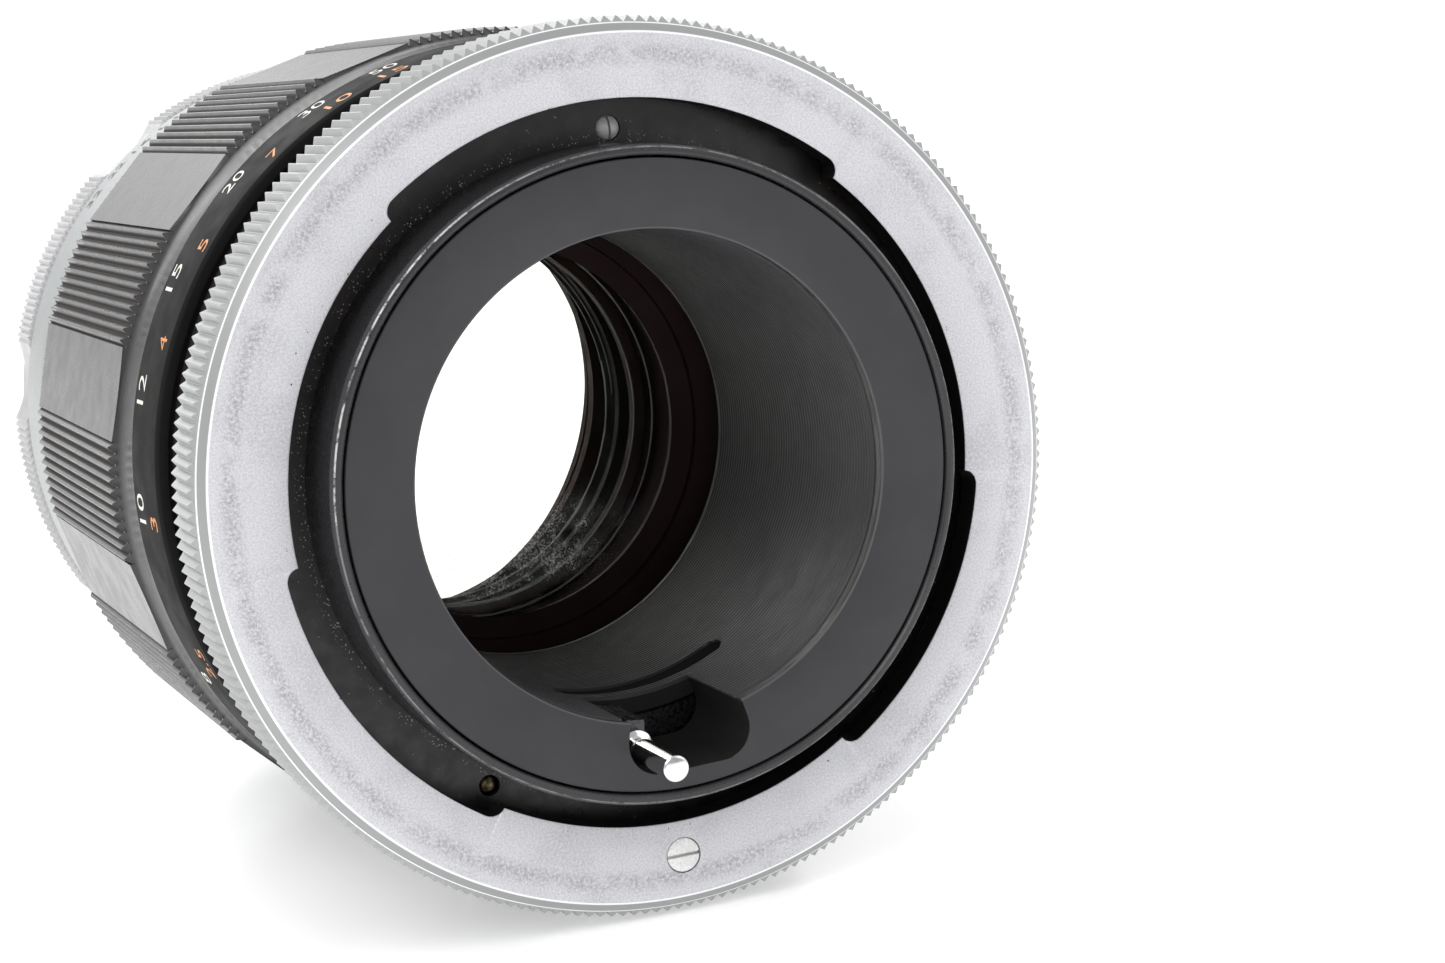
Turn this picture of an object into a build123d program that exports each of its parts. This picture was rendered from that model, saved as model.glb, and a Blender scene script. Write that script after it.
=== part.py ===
"""Short telephoto prime lens with a breech-lock mount, modelled in millimetres.

The optical axis lies along Y.  The camera side faces -Y and the front element faces +Y.  +Z is the
top of the lens, where the focus index is.  The origin is on the axis, in the rear face of the breech ring.
Angles are in degrees about the axis, from +X (0) through +Z (90), as seen from the camera side.
"""
from build123d import *
import math
import os

# Driving dimensions -------------------------------------------------------------------------------
THROAT_RADIUS = 23.9        # outside of the tube that enters the camera
BORE_RADIUS = 17.84         # clear bore behind the rear element
BARREL_RADIUS = 33.0        # outside of the breech ring
GRIP_RADIUS = 33.2          # tips of the focusing grip
THROAT_Y = -3.0             # rear end of the throat
GRIP_FRONT_Y = 64.8         # front end of the focusing grip
FRONT_Y = 91.5              # front rim of the lens
FOCUS_EXTENSION = 14.8      # forward travel of the optical block, infinity to 1.5 m
LEVER_THROW = 17.0          # swing of the aperture lever
IRIS_OPEN_RADIUS = 17.1     # clear radius of the fully open iris
IRIS_THROW = 36.0           # turn of the diaphragm ring
BLADE_COUNT = 8
BLADE_SWING = 34.0          # turn of one blade while the diaphragm ring turns by its throw

# Shared clearances and levels ---------------------------------------------------------------------
SLIP = 0.05                 # radial gap between parts that are screwed together
FLANGE_Y = 4.2              # seating face of the mount flange
FLANGE_BORE = 23.5          # bore round the buried part of the throat tube
BARREL_Y = 9.0              # rear face of the main barrel
LEVER_Y = 8.4               # rear face of the lever ring
IRIS_Y = 53.3               # rear face of the iris unit
PIN_HOLE_GAP = 0.1          # radial gap round the iris pins

# Angular positions --------------------------------------------------------------------------------
LUG_RECESSES = ((49.0, 129.5), (186.8, 240.4), (302.2, 352.6))
STOP_SCREW_ANGLE = 270.8
FLANGE_SCREW_ANGLE = 86.7
LOCATING_PIN_ANGLE = 240.0
LEVER_ANGLE = 263.4
LEVER_SLOT = (LEVER_ANGLE - 5.2, LEVER_ANGLE + LEVER_THROW + 4.2)
LEVER_SLIT = (254.0, 299.5)
DRIVE_PIN_ANGLE = 120.0

PLANE_TURN = -1             # a turn about +Y runs against the angle convention above


# Helpers ------------------------------------------------------------------------------------------
def turned(*profile):
    """A solid of revolution about the optical axis from (radius, y) points."""
    return revolve(make_face(Polyline(*profile, close=True)), Axis.Y)


def tube(inner, outer, start_y, end_y):
    return turned((inner, start_y), (outer, start_y), (outer, end_y), (inner, end_y))


def turn_to(shape, angle):
    return shape.rotate(Axis.Y, PLANE_TURN * angle)


def sector(inner, outer, start_y, end_y, start_angle, end_angle):
    """A block of annular section between two angles."""
    profile = Polyline((inner, start_y), (outer, start_y), (outer, end_y), (inner, end_y), close=True)
    block = revolve(make_face(profile), Axis.Y, revolution_arc=end_angle - start_angle)
    return turn_to(block, end_angle)


def axial_rod(radius, start_y, end_y, at_radius=0.0, angle=0.0):
    rod = Rot(90, 0, 0) * Cylinder(radius, end_y - start_y)
    return turn_to(Pos(at_radius, (start_y + end_y) / 2, 0) * rod, angle)


def radial_rod(radius, start_radius, end_radius, y, angle):
    rod = Rot(0, 90, 0) * Cylinder(radius, end_radius - start_radius)
    return turn_to(Pos((start_radius + end_radius) / 2, y, 0) * rod, angle)


def joined(shapes):
    """Fuse touching pieces of one node into one solid."""
    shapes = list(shapes)
    return shapes[0].fuse(*shapes[1:])


def slotted_screw(head_radius, head_height, shank_radius, length, at_radius, angle, face_y, slot_turn=0.0):
    """A cheese-head screw whose slotted head faces the camera side, its top in the plane face_y."""
    head = axial_rod(head_radius, 0, head_height)
    shank = axial_rod(shank_radius, head_height, length)
    slot = Rot(0, slot_turn, 0) * Box(2.2 * head_radius, 0.9 * head_height, 0.24 * head_radius)
    return turn_to(Pos(at_radius, face_y, 0) * (head + shank - slot), angle)


def screw_hole(head_radius, head_height, shank_radius, length, at_radius, angle, face_y):
    head = axial_rod(head_radius + SLIP, -0.1, head_height)
    shank = axial_rod(shank_radius + SLIP, 0, length + SLIP)
    return turn_to(Pos(at_radius, face_y, 0) * (head + shank), angle)


def surface_ball(radius, vertex, edge):
    """Ball whose surface passes through the vertex on the axis and through the rim."""
    sag = edge - vertex
    curvature_radius = (radius ** 2 + sag ** 2) / (2 * abs(sag))
    centre_y = vertex + math.copysign(curvature_radius, sag)
    return Pos(0, centre_y, 0) * Sphere(curvature_radius)


def glass_element(radius, rear_vertex, rear_edge, front_vertex, front_edge):
    """A lens element from the y of its two surfaces at the axis and at the rim."""
    blank = axial_rod(radius, min(rear_vertex, rear_edge), max(front_vertex, front_edge))
    rear_ball = surface_ball(radius, rear_vertex, rear_edge)
    front_ball = surface_ball(radius, front_vertex, front_edge)
    body = blank & rear_ball if rear_edge > rear_vertex else blank - rear_ball
    return body & front_ball if front_edge < front_vertex else body - front_ball


# Rear mount ---------------------------------------------------------------------------------------
FLANGE_SCREW = (0.9, 0.7, 0.45, 3.2, 25.0, FLANGE_SCREW_ANGLE, FLANGE_Y)
STOP_SCREW = (1.3, 1.2, 0.5, 5.4, 28.71, STOP_SCREW_ANGLE, 0.0)
BREECH_THROW = 55.0


def rear_baffle():
    """Rear plate and blackened bore tube, with the lever's slot and slit."""
    body = turned(
        (BORE_RADIUS, THROAT_Y), (23.0, THROAT_Y), (23.0, 8.0),
        (19.3, 8.0), (19.3, 30.0), (BORE_RADIUS, 30.0),
    )
    slot = sector(BORE_RADIUS - 1, 21.65, THROAT_Y - 0.1, 8.1, *LEVER_SLOT)
    slit = sector(BORE_RADIUS - 1, 19.5, 10.2, 12.0, *LEVER_SLIT)
    return body - slot - slit


def throat_tube():
    """Thin tube round the rear plate, with a bevelled lip."""
    return turned(
        (23.0 + SLIP, THROAT_Y + 0.1), (23.3, THROAT_Y - 0.2), (23.6, THROAT_Y - 0.2),
        (THROAT_RADIUS, THROAT_Y + 0.4), (THROAT_RADIUS, FLANGE_Y), (FLANGE_BORE - SLIP, FLANGE_Y),
        (FLANGE_BORE - SLIP, BARREL_Y), (23.0 + SLIP, BARREL_Y),
    )


def mount_flange():
    """Seating flange with the journal that the breech ring turns on."""
    body = turned(
        (FLANGE_BORE, FLANGE_Y), (29.0, FLANGE_Y), (29.0, 6.0),
        (27.0, 6.0), (27.0, BARREL_Y), (FLANGE_BORE, BARREL_Y),
    )
    track_ends = (STOP_SCREW_ANGLE - 2.4, STOP_SCREW_ANGLE + BREECH_THROW + 2.4)
    stop_track = sector(28.0, 29.1, FLANGE_Y - 0.1, 6.1, *track_ends)
    pin_hole = axial_rod(0.75 + SLIP, FLANGE_Y - 0.1, 8.0, 25.3, LOCATING_PIN_ANGLE)
    return body - stop_track - pin_hole - screw_hole(*FLANGE_SCREW)


def locating_pin():
    return axial_rod(0.75, FLANGE_Y + 0.3, 7.9, 25.3, LOCATING_PIN_ANGLE)


def breech_ring():
    """Locking ring with three lugs, turning on the mount flange."""
    body = turned(
        (26.08, 0), (31.85, 0), (32.25, 0.25), (32.5, 0.65), (BARREL_RADIUS, 1.1),
        (BARREL_RADIUS, 6.4), (32.5, 6.8), (30.0, 6.8), (30.0, 7.2), (27.08, 7.2),
        (27.08, 6.2), (29.3, 6.2), (29.3, 2.4), (26.08, 2.4),
    )
    for start, end in LUG_RECESSES:
        body = body - sector(25.0, 27.1, -0.1, 2.5, start, end)
    return body - screw_hole(*STOP_SCREW)


# Fixed barrel -------------------------------------------------------------------------------------
KEY_WIDTH = 3.0
KEY_LENGTH = 10.0
KEY_Y = 46.0                # middle of the guide keys
KEY_RUN_OUT = 2.3           # free length of the key slot beyond the travel, at each end
KEY_ANGLES = (0.0, 180.0)


def main_barrel():
    """Fixed barrel: journal of the focusing ring at the rear, guide tube at the front."""
    body = turned(
        (24.4, BARREL_Y), (28.5, BARREL_Y), (28.5, 18.7), (26.9, 18.7), (26.9, 21.3), (25.4, 21.3),
        (25.4, 52.0), (24.4, 52.0), (24.4, 15.0), (19.35, 15.0), (19.35, 13.0), (24.4, 13.0),
    )
    for angle in KEY_ANGLES:
        body = body - guide_key_seat(angle)
    return body


def guide_key_seat(angle):
    return turn_to(Pos(25.4, KEY_Y, 0) * Box(1.2, KEY_LENGTH + 0.1, KEY_WIDTH + 0.1), angle)


def guide_keys():
    """Two keys that stop the optical block from turning."""
    key = Pos(26.2, KEY_Y, 0) * Box(2.6, KEY_LENGTH, KEY_WIDTH)
    return [turn_to(key, angle) for angle in KEY_ANGLES]


def depth_scale_ring():
    """Fixed ring with the focus index, between the breech ring and the distance scale."""
    return turned((28.6, 7.6), (30.3, 7.6), (30.5, 7.9), (30.5, 18.2), (28.6, 18.2))


def focus_retaining_ring():
    return tube(25.4 + SLIP, 28.6, 21.3, 23.3)


# Focusing ring ------------------------------------------------------------------------------------
GRIP_HILLS = 12
GRIP_PITCH = 360.0 / GRIP_HILLS
GRIP_HILL_ANGLE = 1.5       # centre of the first hill
GRIP_START_Y = 30.0         # rear end of the ribs
GRIP_FLAT_RADIUS = 32.75    # across the smooth flats, at their middle


def focus_carrier():
    """Rotating sleeve whose inner thread drives the optical block."""
    return turned((27.0, 19.0), (30.7, 19.0), (30.7, 52.0), (28.9, 52.0), (28.9, 21.0), (27.0, 21.0))


def focus_scale_ring():
    return turned((30.75, 18.5), (31.6, 18.5), (31.75, 18.65), (32.2, 25.4), (30.75, 25.4))


def focus_grip():
    """Focusing grip: a cove behind, then ribbed hills with smooth flats between them."""
    body = turned(
        (30.75, 25.4), (32.2, 25.4), (32.3, 27.5), (32.6, 29.2), (GRIP_RADIUS, GRIP_START_Y),
        (GRIP_RADIUS, GRIP_FRONT_Y - 1.0), (32.3, GRIP_FRONT_Y), (31.0, GRIP_FRONT_Y),
        (31.0, 53.0), (30.75, 53.0),
    )
    flat_length = GRIP_FRONT_Y - GRIP_START_Y
    flat = Pos(GRIP_FLAT_RADIUS + 1.0, GRIP_START_Y + flat_length / 2 + 0.6, 0) * Box(2.0, flat_length, 14.0)
    for step in range(GRIP_HILLS):
        body = body - turn_to(flat, GRIP_HILL_ANGLE + (step + 0.5) * GRIP_PITCH)
    return body


# Aperture lever -----------------------------------------------------------------------------------
LEVER_RADIUS = 20.24        # distance of the lever pin from the axis


def lever_ring():
    """Ring behind the rear plate, with the arm that reaches into the slot."""
    ring = tube(19.6, 22.8, LEVER_Y, LEVER_Y + 2.0)
    arm = sector(18.3, 21.3, 0.8, 7.6, LEVER_ANGLE - 2.3, LEVER_ANGLE + 2.3)
    neck = sector(19.7, 21.3, 7.5, LEVER_Y + 0.5, LEVER_ANGLE - 2.3, LEVER_ANGLE + 2.3)
    return joined([ring, arm, neck])


def aperture_lever_pin():
    """Steel pin that the camera pushes, with a collar at its root."""
    shaft = axial_rod(0.95, -7.85, 0.8)
    tip = Pos(0, -7.925, 0) * Rot(-90, 0, 0) * Cone(0.95, 0.80, 0.15)
    collar = axial_rod(1.35, -0.5, 0.8)
    return turn_to(Pos(LEVER_RADIUS, 0, 0) * joined([shaft, tip, collar]), LEVER_ANGLE)


def lever_spring():
    """C-shaped wire spring that returns the lever."""
    wire = Pos(22.3, 11.7, 0) * Circle(0.35)
    return turn_to(revolve(wire, Axis.Y, revolution_arc=210), 300)


# Optical block ------------------------------------------------------------------------------------
def inner_helicoid():
    """Sleeve that slides forward on the keys and carries the optical block."""
    body = tube(25.75, 28.6, 24.0, 60.0)
    slot_start = KEY_Y - KEY_LENGTH / 2 - FOCUS_EXTENSION - KEY_RUN_OUT
    slot_end = KEY_Y + KEY_LENGTH / 2 + KEY_RUN_OUT
    key_slot = Box(4.0, slot_end - slot_start, KEY_WIDTH + 0.3)
    for angle in KEY_ANGLES:
        body = body - turn_to(Pos(27.0, (slot_start + slot_end) / 2, 0) * key_slot, angle)
    body = body - drive_pin_slot(25.0, 29.0)
    for angle in FRONT_SCREW_ANGLES:
        body = body - axial_rod(0.5 + SLIP, 55.0, 60.1, 27.2, angle)
    return body


def drive_pin_slot(inner, outer):
    start_angle = DRIVE_PIN_ANGLE - 4
    end_angle = DRIVE_PIN_ANGLE + IRIS_THROW + 4
    return sector(inner, outer, IRIS_Y + 2.9, IRIS_Y + 5.1, start_angle, end_angle)


FRONT_SCREW_ANGLES = (30.0, 210.0, 330.0)
RIM_Y = 88.6                # rear face of the filter ring
FILTER_RADIUS = 27.5        # of the 55 mm filter thread
FRONT_GLASS_RADIUS = 26.8
CLICK_Y = 84.0              # of the click ball and its stops


def front_barrel():
    """Front tube that carries the cells, the scale ring and the aperture ring."""
    body = turned(
        (25.6, 60.0), (29.0, 60.0), (29.0, RIM_Y), (26.9, RIM_Y), (26.9, 77.0), (25.6, 77.0),
    )
    for angle in FRONT_SCREW_ANGLES:
        body = body - screw_hole(0.8, 1.0, 0.5, 4.0, 27.2, angle, 60.0)
    return body - radial_rod(0.65, 27.9, 29.1, CLICK_Y, 90)


def front_screws():
    return [axial_rod(0.5, 55.2, 63.8, 27.2, angle) for angle in FRONT_SCREW_ANGLES]


def rear_cell():
    """Mount of the rear doublet, carried inside the iris unit's barrel."""
    return turned(
        (17.35, 34.0), (19.4, 34.0), (19.4, 44.0), (23.4, 44.0), (23.4, IRIS_Y),
        (20.6, IRIS_Y), (20.6, 48.0), (16.4, 48.0), (16.4, 46.6), (17.35, 46.6),
    )


def rear_retaining_ring():
    return turned((15.6, 35.2), (17.3, 34.6), (17.3, 36.6), (15.9, 36.6))


def rear_positive_element():
    return glass_element(17.2, 41.6, 43.4, 47.6, 45.6)


def rear_negative_element():
    return glass_element(17.2, 39.4, 36.7, 41.55, 43.35)


def middle_cell():
    """Mount of the second and third elements, in front of the iris."""
    return turned(
        (21.55, 59.2), (25.5, 59.2), (25.5, 76.8), (23.4, 76.8), (23.4, 70.2),
        (22.4, 70.2), (22.4, 69.2), (21.55, 69.2), (21.55, 62.0), (20.2, 61.4), (20.2, 59.2),
    )


def third_element():
    return glass_element(21.45, 63.6, 62.1, 66.0, 67.6)


def third_element_ring():
    return tube(19.9, 21.45, 67.8, 69.2)


def second_element():
    return glass_element(23.3, 71.4, 70.3, 76.4, 72.8)


def second_element_ring():
    return turned((22.5, 73.4), (23.3, 73.0), (23.3, 75.4), (22.8, 75.4))


def front_spacer():
    """Step ring that seats the front element and sets the clear width."""
    return turned(
        (22.6, 77.0), (FRONT_GLASS_RADIUS, 77.0), (FRONT_GLASS_RADIUS, 79.4), (24.4, 79.4), (22.6, 78.2),
    )


def front_element():
    return glass_element(FRONT_GLASS_RADIUS, 79.5, 79.8, 87.0, 82.2)


def name_ring():
    """Plain black ring that retains the front element."""
    return turned((24.6, 84.0), (FRONT_GLASS_RADIUS, 82.6), (FRONT_GLASS_RADIUS, 86.6), (25.6, 86.0))


def filter_ring():
    """Front rim with the filter thread."""
    return turned(
        (FILTER_RADIUS, RIM_Y), (30.0, RIM_Y), (30.2, RIM_Y + 0.3), (30.2, FRONT_Y - 0.3),
        (29.9, FRONT_Y), (FILTER_RADIUS + 0.3, FRONT_Y), (FILTER_RADIUS, FRONT_Y - 0.3),
    )


def aperture_scale_ring():
    """Smooth ring with the aperture scale, fixed on the front barrel."""
    return turned((29.05, 67.1), (31.3, 67.1), (31.4, 67.3), (31.0, 79.6), (30.6, 79.9), (29.05, 79.9))


# Diaphragm and its rings --------------------------------------------------------------------------
BLADE_PITCH = 360.0 / BLADE_COUNT
BLADE_OUTER = 21.8
BLADE_LEVEL = 0.26
BLADE_THICKNESS = 0.12
PIVOT_RADIUS = 23.4
PIN_RADIUS = 0.5
CAM_PIN_ANGLE = 5.9         # of the cam pin from the pivot pin, open iris


def blade_level(index):
    return IRIS_Y + 1.2 + index * BLADE_LEVEL


def iris_base_plate():
    """Plate with the blades' pivot holes, and the rim round the blades."""
    plate = tube(17.3, 25.6, IRIS_Y, IRIS_Y + 1.0)
    rim = tube(24.9, 25.6, IRIS_Y + 0.5, IRIS_Y + 4.8)
    body = joined([plate, rim]) - drive_pin_slot(24.5, 26.0)
    hole = axial_rod(PIN_RADIUS + PIN_HOLE_GAP, IRIS_Y + 0.1, IRIS_Y + 1.1, PIVOT_RADIUS)
    for index in range(BLADE_COUNT):
        body = body - turn_to(hole, index * BLADE_PITCH)
    return body


def iris_blade(index):
    """One thin blade with its pivot pin to the rear and its cam pin to the front."""
    level = blade_level(index)
    top = level + BLADE_THICKNESS
    leaf = sector(IRIS_OPEN_RADIUS, BLADE_OUTER, level, top, -2, 98)
    ear = sector(BLADE_OUTER - 0.5, PIVOT_RADIUS + 0.9, level, top, -2, CAM_PIN_ANGLE + 2)
    pivot = axial_rod(PIN_RADIUS, IRIS_Y + 0.2, level + BLADE_THICKNESS / 2, PIVOT_RADIUS, 0)
    cam_pin = axial_rod(PIN_RADIUS, level + BLADE_THICKNESS / 2, IRIS_Y + 4.3, PIVOT_RADIUS, CAM_PIN_ANGLE)
    return turn_to(joined([leaf, ear, pivot, cam_pin]), index * BLADE_PITCH)


def cam_slot_point(share):
    """Centre of the cam slot, in the cam ring, where the ring has turned this share of its throw."""
    swing = math.radians(BLADE_SWING * share)
    start = math.radians(CAM_PIN_ANGLE)
    reach_x = PIVOT_RADIUS * (math.cos(start) - 1)
    reach_z = PIVOT_RADIUS * math.sin(start)
    pin_x = PIVOT_RADIUS + reach_x * math.cos(swing) - reach_z * math.sin(swing)
    pin_z = reach_x * math.sin(swing) + reach_z * math.cos(swing)
    angle = math.degrees(math.atan2(pin_z, pin_x)) - IRIS_THROW * share
    return math.hypot(pin_x, pin_z), angle


def cam_slot(index):
    """A spiral slot, cut as a row of short annular blocks with round ends."""
    half_width = PIN_RADIUS + PIN_HOLE_GAP
    steps = 12
    low, high = IRIS_Y + 3.4, IRIS_Y + 4.6
    cutters = []
    for step in range(steps):
        first_radius, first_angle = cam_slot_point(step / steps)
        last_radius, last_angle = cam_slot_point((step + 1) / steps)
        inner = min(first_radius, last_radius) - half_width
        outer = max(first_radius, last_radius) + half_width
        cutters.append(sector(inner, outer, low, high, last_angle - 0.2, first_angle + 0.2))
    for share in (0, 1):
        radius, angle = cam_slot_point(share)
        cutters.append(axial_rod(half_width + 0.06, low, high, radius, angle))
    return turn_to(joined(cutters), index * BLADE_PITCH)


def iris_cam_ring():
    """Ring with one cam slot for each blade."""
    body = tube(17.8, 24.7, IRIS_Y + 3.5, IRIS_Y + 4.5)
    for index in range(BLADE_COUNT):
        body = body - cam_slot(index)
    return body - radial_rod(0.55, 23.7, 25.0, IRIS_Y + 4.0, DRIVE_PIN_ANGLE)


def iris_cover():
    return tube(18.0, 25.6, IRIS_Y + 4.8, IRIS_Y + 5.6)


def iris_drive_pin():
    """Pin that ties the cam ring to the diaphragm ring."""
    return radial_rod(0.5, 24.0, 30.2, IRIS_Y + 4.0, DRIVE_PIN_ANGLE)


def diaphragm_ring():
    """Narrow knurled ring with a long skirt inside the focusing grip."""
    body = turned(
        (29.2, 56.0), (30.4, 56.0), (30.4, 65.2), (31.6, 65.2), (31.8, 65.35), (31.8, 66.65),
        (31.6, 66.8), (29.2, 66.8),
    )
    return body - radial_rod(0.5 + SLIP, 29.0, 30.5, IRIS_Y + 4.0, DRIVE_PIN_ANGLE)


APERTURE_HILLS = 8
CLICK_STOPS = 9
CLICK_STEP = 6.0            # degrees between click stops


def aperture_ring():
    """Front ring with knurled hills and concave scallops between them."""
    body = turned(
        (29.1, 80.2), (30.6, 80.2), (32.0, 81.2), (32.0, 87.6), (31.4, 88.4), (29.1, 88.4),
    )
    scallop = Pos(0, 84.3, 0) * Rot(90, 0, 0) * Cylinder(9.0, 12.0)
    for step in range(APERTURE_HILLS):
        angle = (step + 0.5) * 360.0 / APERTURE_HILLS
        body = body - turn_to(Pos(39.9, 0, 0) * scallop, angle)
    for step in range(CLICK_STOPS):
        body = body - radial_rod(0.5, 29.0, 29.5, CLICK_Y, 90 - step * CLICK_STEP)
    return body


def click_ball():
    return turn_to(Pos(28.5, CLICK_Y, 0) * Sphere(0.55), 90)


# Assembly -----------------------------------------------------------------------------------------
def all_nodes():
    nodes = {
        "rear_baffle": rear_baffle(),
        "throat_tube": throat_tube(),
        "mount_flange": mount_flange(),
        "flange_screw": slotted_screw(*FLANGE_SCREW, slot_turn=5.0),
        "locating_pin": locating_pin(),
        "breech_ring": breech_ring(),
        "breech_stop_screw": slotted_screw(*STOP_SCREW, slot_turn=90.0),
        "main_barrel": main_barrel(),
        "guide_keys": Compound(children=guide_keys()),
        "depth_scale_ring": depth_scale_ring(),
        "focus_retaining_ring": focus_retaining_ring(),
        "focus_carrier": focus_carrier(),
        "focus_scale_ring": focus_scale_ring(),
        "focus_grip": focus_grip(),
        "lever_ring": lever_ring(),
        "aperture_lever_pin": aperture_lever_pin(),
        "lever_spring": lever_spring(),
        "inner_helicoid": inner_helicoid(),
        "front_barrel": front_barrel(),
        "front_screws": Compound(children=front_screws()),
        "rear_cell": rear_cell(),
        "rear_retaining_ring": rear_retaining_ring(),
        "rear_positive_element": rear_positive_element(),
        "rear_negative_element": rear_negative_element(),
        "middle_cell": middle_cell(),
        "third_element": third_element(),
        "third_element_ring": third_element_ring(),
        "second_element": second_element(),
        "second_element_ring": second_element_ring(),
        "front_spacer": front_spacer(),
        "front_element": front_element(),
        "name_ring": name_ring(),
        "filter_ring": filter_ring(),
        "aperture_scale_ring": aperture_scale_ring(),
        "iris_base_plate": iris_base_plate(),
        "iris_cam_ring": iris_cam_ring(),
        "iris_cover": iris_cover(),
        "iris_drive_pin": iris_drive_pin(),
        "diaphragm_ring": diaphragm_ring(),
        "aperture_ring": aperture_ring(),
        "click_ball": click_ball(),
    }
    for index in range(BLADE_COUNT):
        nodes[f"iris_blade_{index + 1}"] = iris_blade(index)
    return nodes


def main():
    os.makedirs("parts", exist_ok=True)
    for name, shape in all_nodes().items():
        export_step(shape, f"parts/{name}.step")


main()
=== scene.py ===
"""Looks of the telephoto lens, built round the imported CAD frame.

Everything is in the row frame in metres: the optical axis is Y, the camera side is -Y and +Z is the top.
Dimensions below are in millimetres and angles in degrees from +X towards +Z; helpers convert them.
"""
import math

import bmesh
import bpy
import numpy as np
from mathutils import Matrix, Vector


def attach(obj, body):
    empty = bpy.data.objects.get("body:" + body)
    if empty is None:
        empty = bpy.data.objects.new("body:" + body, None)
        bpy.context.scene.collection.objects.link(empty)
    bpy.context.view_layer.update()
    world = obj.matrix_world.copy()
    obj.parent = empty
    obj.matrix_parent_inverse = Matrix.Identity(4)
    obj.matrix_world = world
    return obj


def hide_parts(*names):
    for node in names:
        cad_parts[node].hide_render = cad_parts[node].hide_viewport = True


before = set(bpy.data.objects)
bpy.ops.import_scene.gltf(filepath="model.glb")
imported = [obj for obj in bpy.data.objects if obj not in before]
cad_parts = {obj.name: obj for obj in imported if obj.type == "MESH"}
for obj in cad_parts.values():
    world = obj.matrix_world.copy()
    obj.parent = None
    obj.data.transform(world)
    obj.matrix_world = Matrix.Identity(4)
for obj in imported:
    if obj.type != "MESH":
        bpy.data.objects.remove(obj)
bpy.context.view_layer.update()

MM = 0.001
NEAR_AXIS = 0.001               # radius of the points of a turned part that lie on its own axis

# Rear end
BORE_RADIUS = 17.84
BREECH_RADIUS = 33.0
BREECH_VALLEY_RADIUS = 32.56
BREECH_TEETH = 234
LUG_RADIUS = 26.08
RECESS_RADIUS = 27.1
LUG_RECESSES = ((49.0, 129.5), (186.8, 240.4), (302.2, 352.6))
RECESS_END_SPAN = 2.4           # degrees over which a recess rounds out to its full depth
STOP_SCREW = (28.71, 270.8, 0.0, 1.3)      # radius from the axis, angle, y of the head, head radius
FLANGE_SCREW = (25.0, 86.7, 4.2, 0.9)
LOCATING_PIN = (25.3, 240.0)
LEVER_PIN = (20.24, 263.4)
LEVER_SLOT = (258.0, 286.2)
LEVER_SLIT = (254.0, 300.0)
SLIT_LEVELS = (9.6, 12.4)
SLOT_OUTER_RADIUS = 21.65
SLOT_END_Y = 8.1
SLOT_CORNER_RADIUS, SLOT_CORNER_SPAN = 2.6, 7.0     # millimetres outwards, degrees along the slot
SLOT_CORNER_STEPS = 12
SLIT_STEPS = 60
PLATE_FACE_Y = -3.0
THREAD_PITCH, THREAD_DEPTH = 0.5, 0.2
THREAD_START_Y, THREAD_LENGTH = 29.6, 31.4
DEPTH_RING_RADIUS = 30.5

# Glass
REAR_CLEAR_RADIUS = 16.95
INNER_CLEAR_RADIUS = 21.2
FRONT_CLEAR_RADIUS = 24.5
REAR_SURFACE_END_Y = 40.0       # just past the rear surface of the rear pair
FRONT_SURFACE_START_Y = 44.5    # just before its front surface
RIM_RADIUS, FRONT_RIM_RADIUS = 16.72, 15.95
HAZE_ANGLE = -95.0

# Focusing ring
SCALE_START_Y, SCALE_END_Y = 18.5, 25.4
SCALE_START_RADIUS, SCALE_END_RADIUS = 31.75, 32.2
GRIP_RADIUS = 33.2
GRIP_VALLEY_RADIUS = 32.74
GRIP_FLAT_RADIUS = 32.75
GRIP_START_Y, GRIP_END_Y = 30.0, 64.8
GRIP_HILLS = 12
GRIP_HILL_ANGLE = 1.5
RIBS_PER_HILL = 11
RIB_PITCH = 1.545
FLAT_EDGE_SLOPE = 1.6           # how much further forward a flat starts for each mm it stands higher

# Front end
STOP_DOWN_RADIUS, STOP_DOWN_VALLEY_RADIUS = 32.5, 32.1
STOP_DOWN_TEETH = 240
STOP_SCALE_START_Y, STOP_SCALE_END_Y = 67.3, 79.6
STOP_SCALE_START_RADIUS, STOP_SCALE_END_RADIUS = 31.75, 31.6
APERTURE_RADIUS, APERTURE_VALLEY_RADIUS = 31.75, 31.49
APERTURE_TEETH = 300
SCALLOP_COUNT = 8
SCALLOP_CENTRE, SCALLOP_RADIUS = 39.6, 9.0
SCALLOP_PHASE = 14.0
CLICK_STEP = 6.0

# Marks
FEET_TO_METRES = 0.3048
FEET_MARKS = ("50", "30", "20", "15", "12", "10", "8", "7", "6", "5")
METRE_MARKS = ("15", "10", "7", "5", "4", "3", "2.5", "2", "1.7", "1.5")
DEPTH_MARKS = ("4", "8", "16", "22")
APERTURE_MARKS = ("2.5", "2.8", "4", "5.6", "8", "11", "16", "22", "32")
TOP_ANGLE = 90.0
INDEX_ANGLE = 90.4
DISTANCE_SPREAD, DISTANCE_OFFSET = 252.0, 0.27      # degrees times metres, metres
FEET_ROW_Y, METRE_ROW_Y = 23.7, 20.5
DEPTH_ROW_Y, STOP_ROW_Y = 12.6, 77.2
INDEX_LINE_Y = (8.6, 17.6)
DEPTH_LINE_Y = (14.4, 17.6)
STOP_LINE_Y = (81.6, 83.6)
DIGIT_WIDTH = 1.2
DIGIT_HEIGHT = 1.8
ENAMEL_LIFT = 0.012

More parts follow.
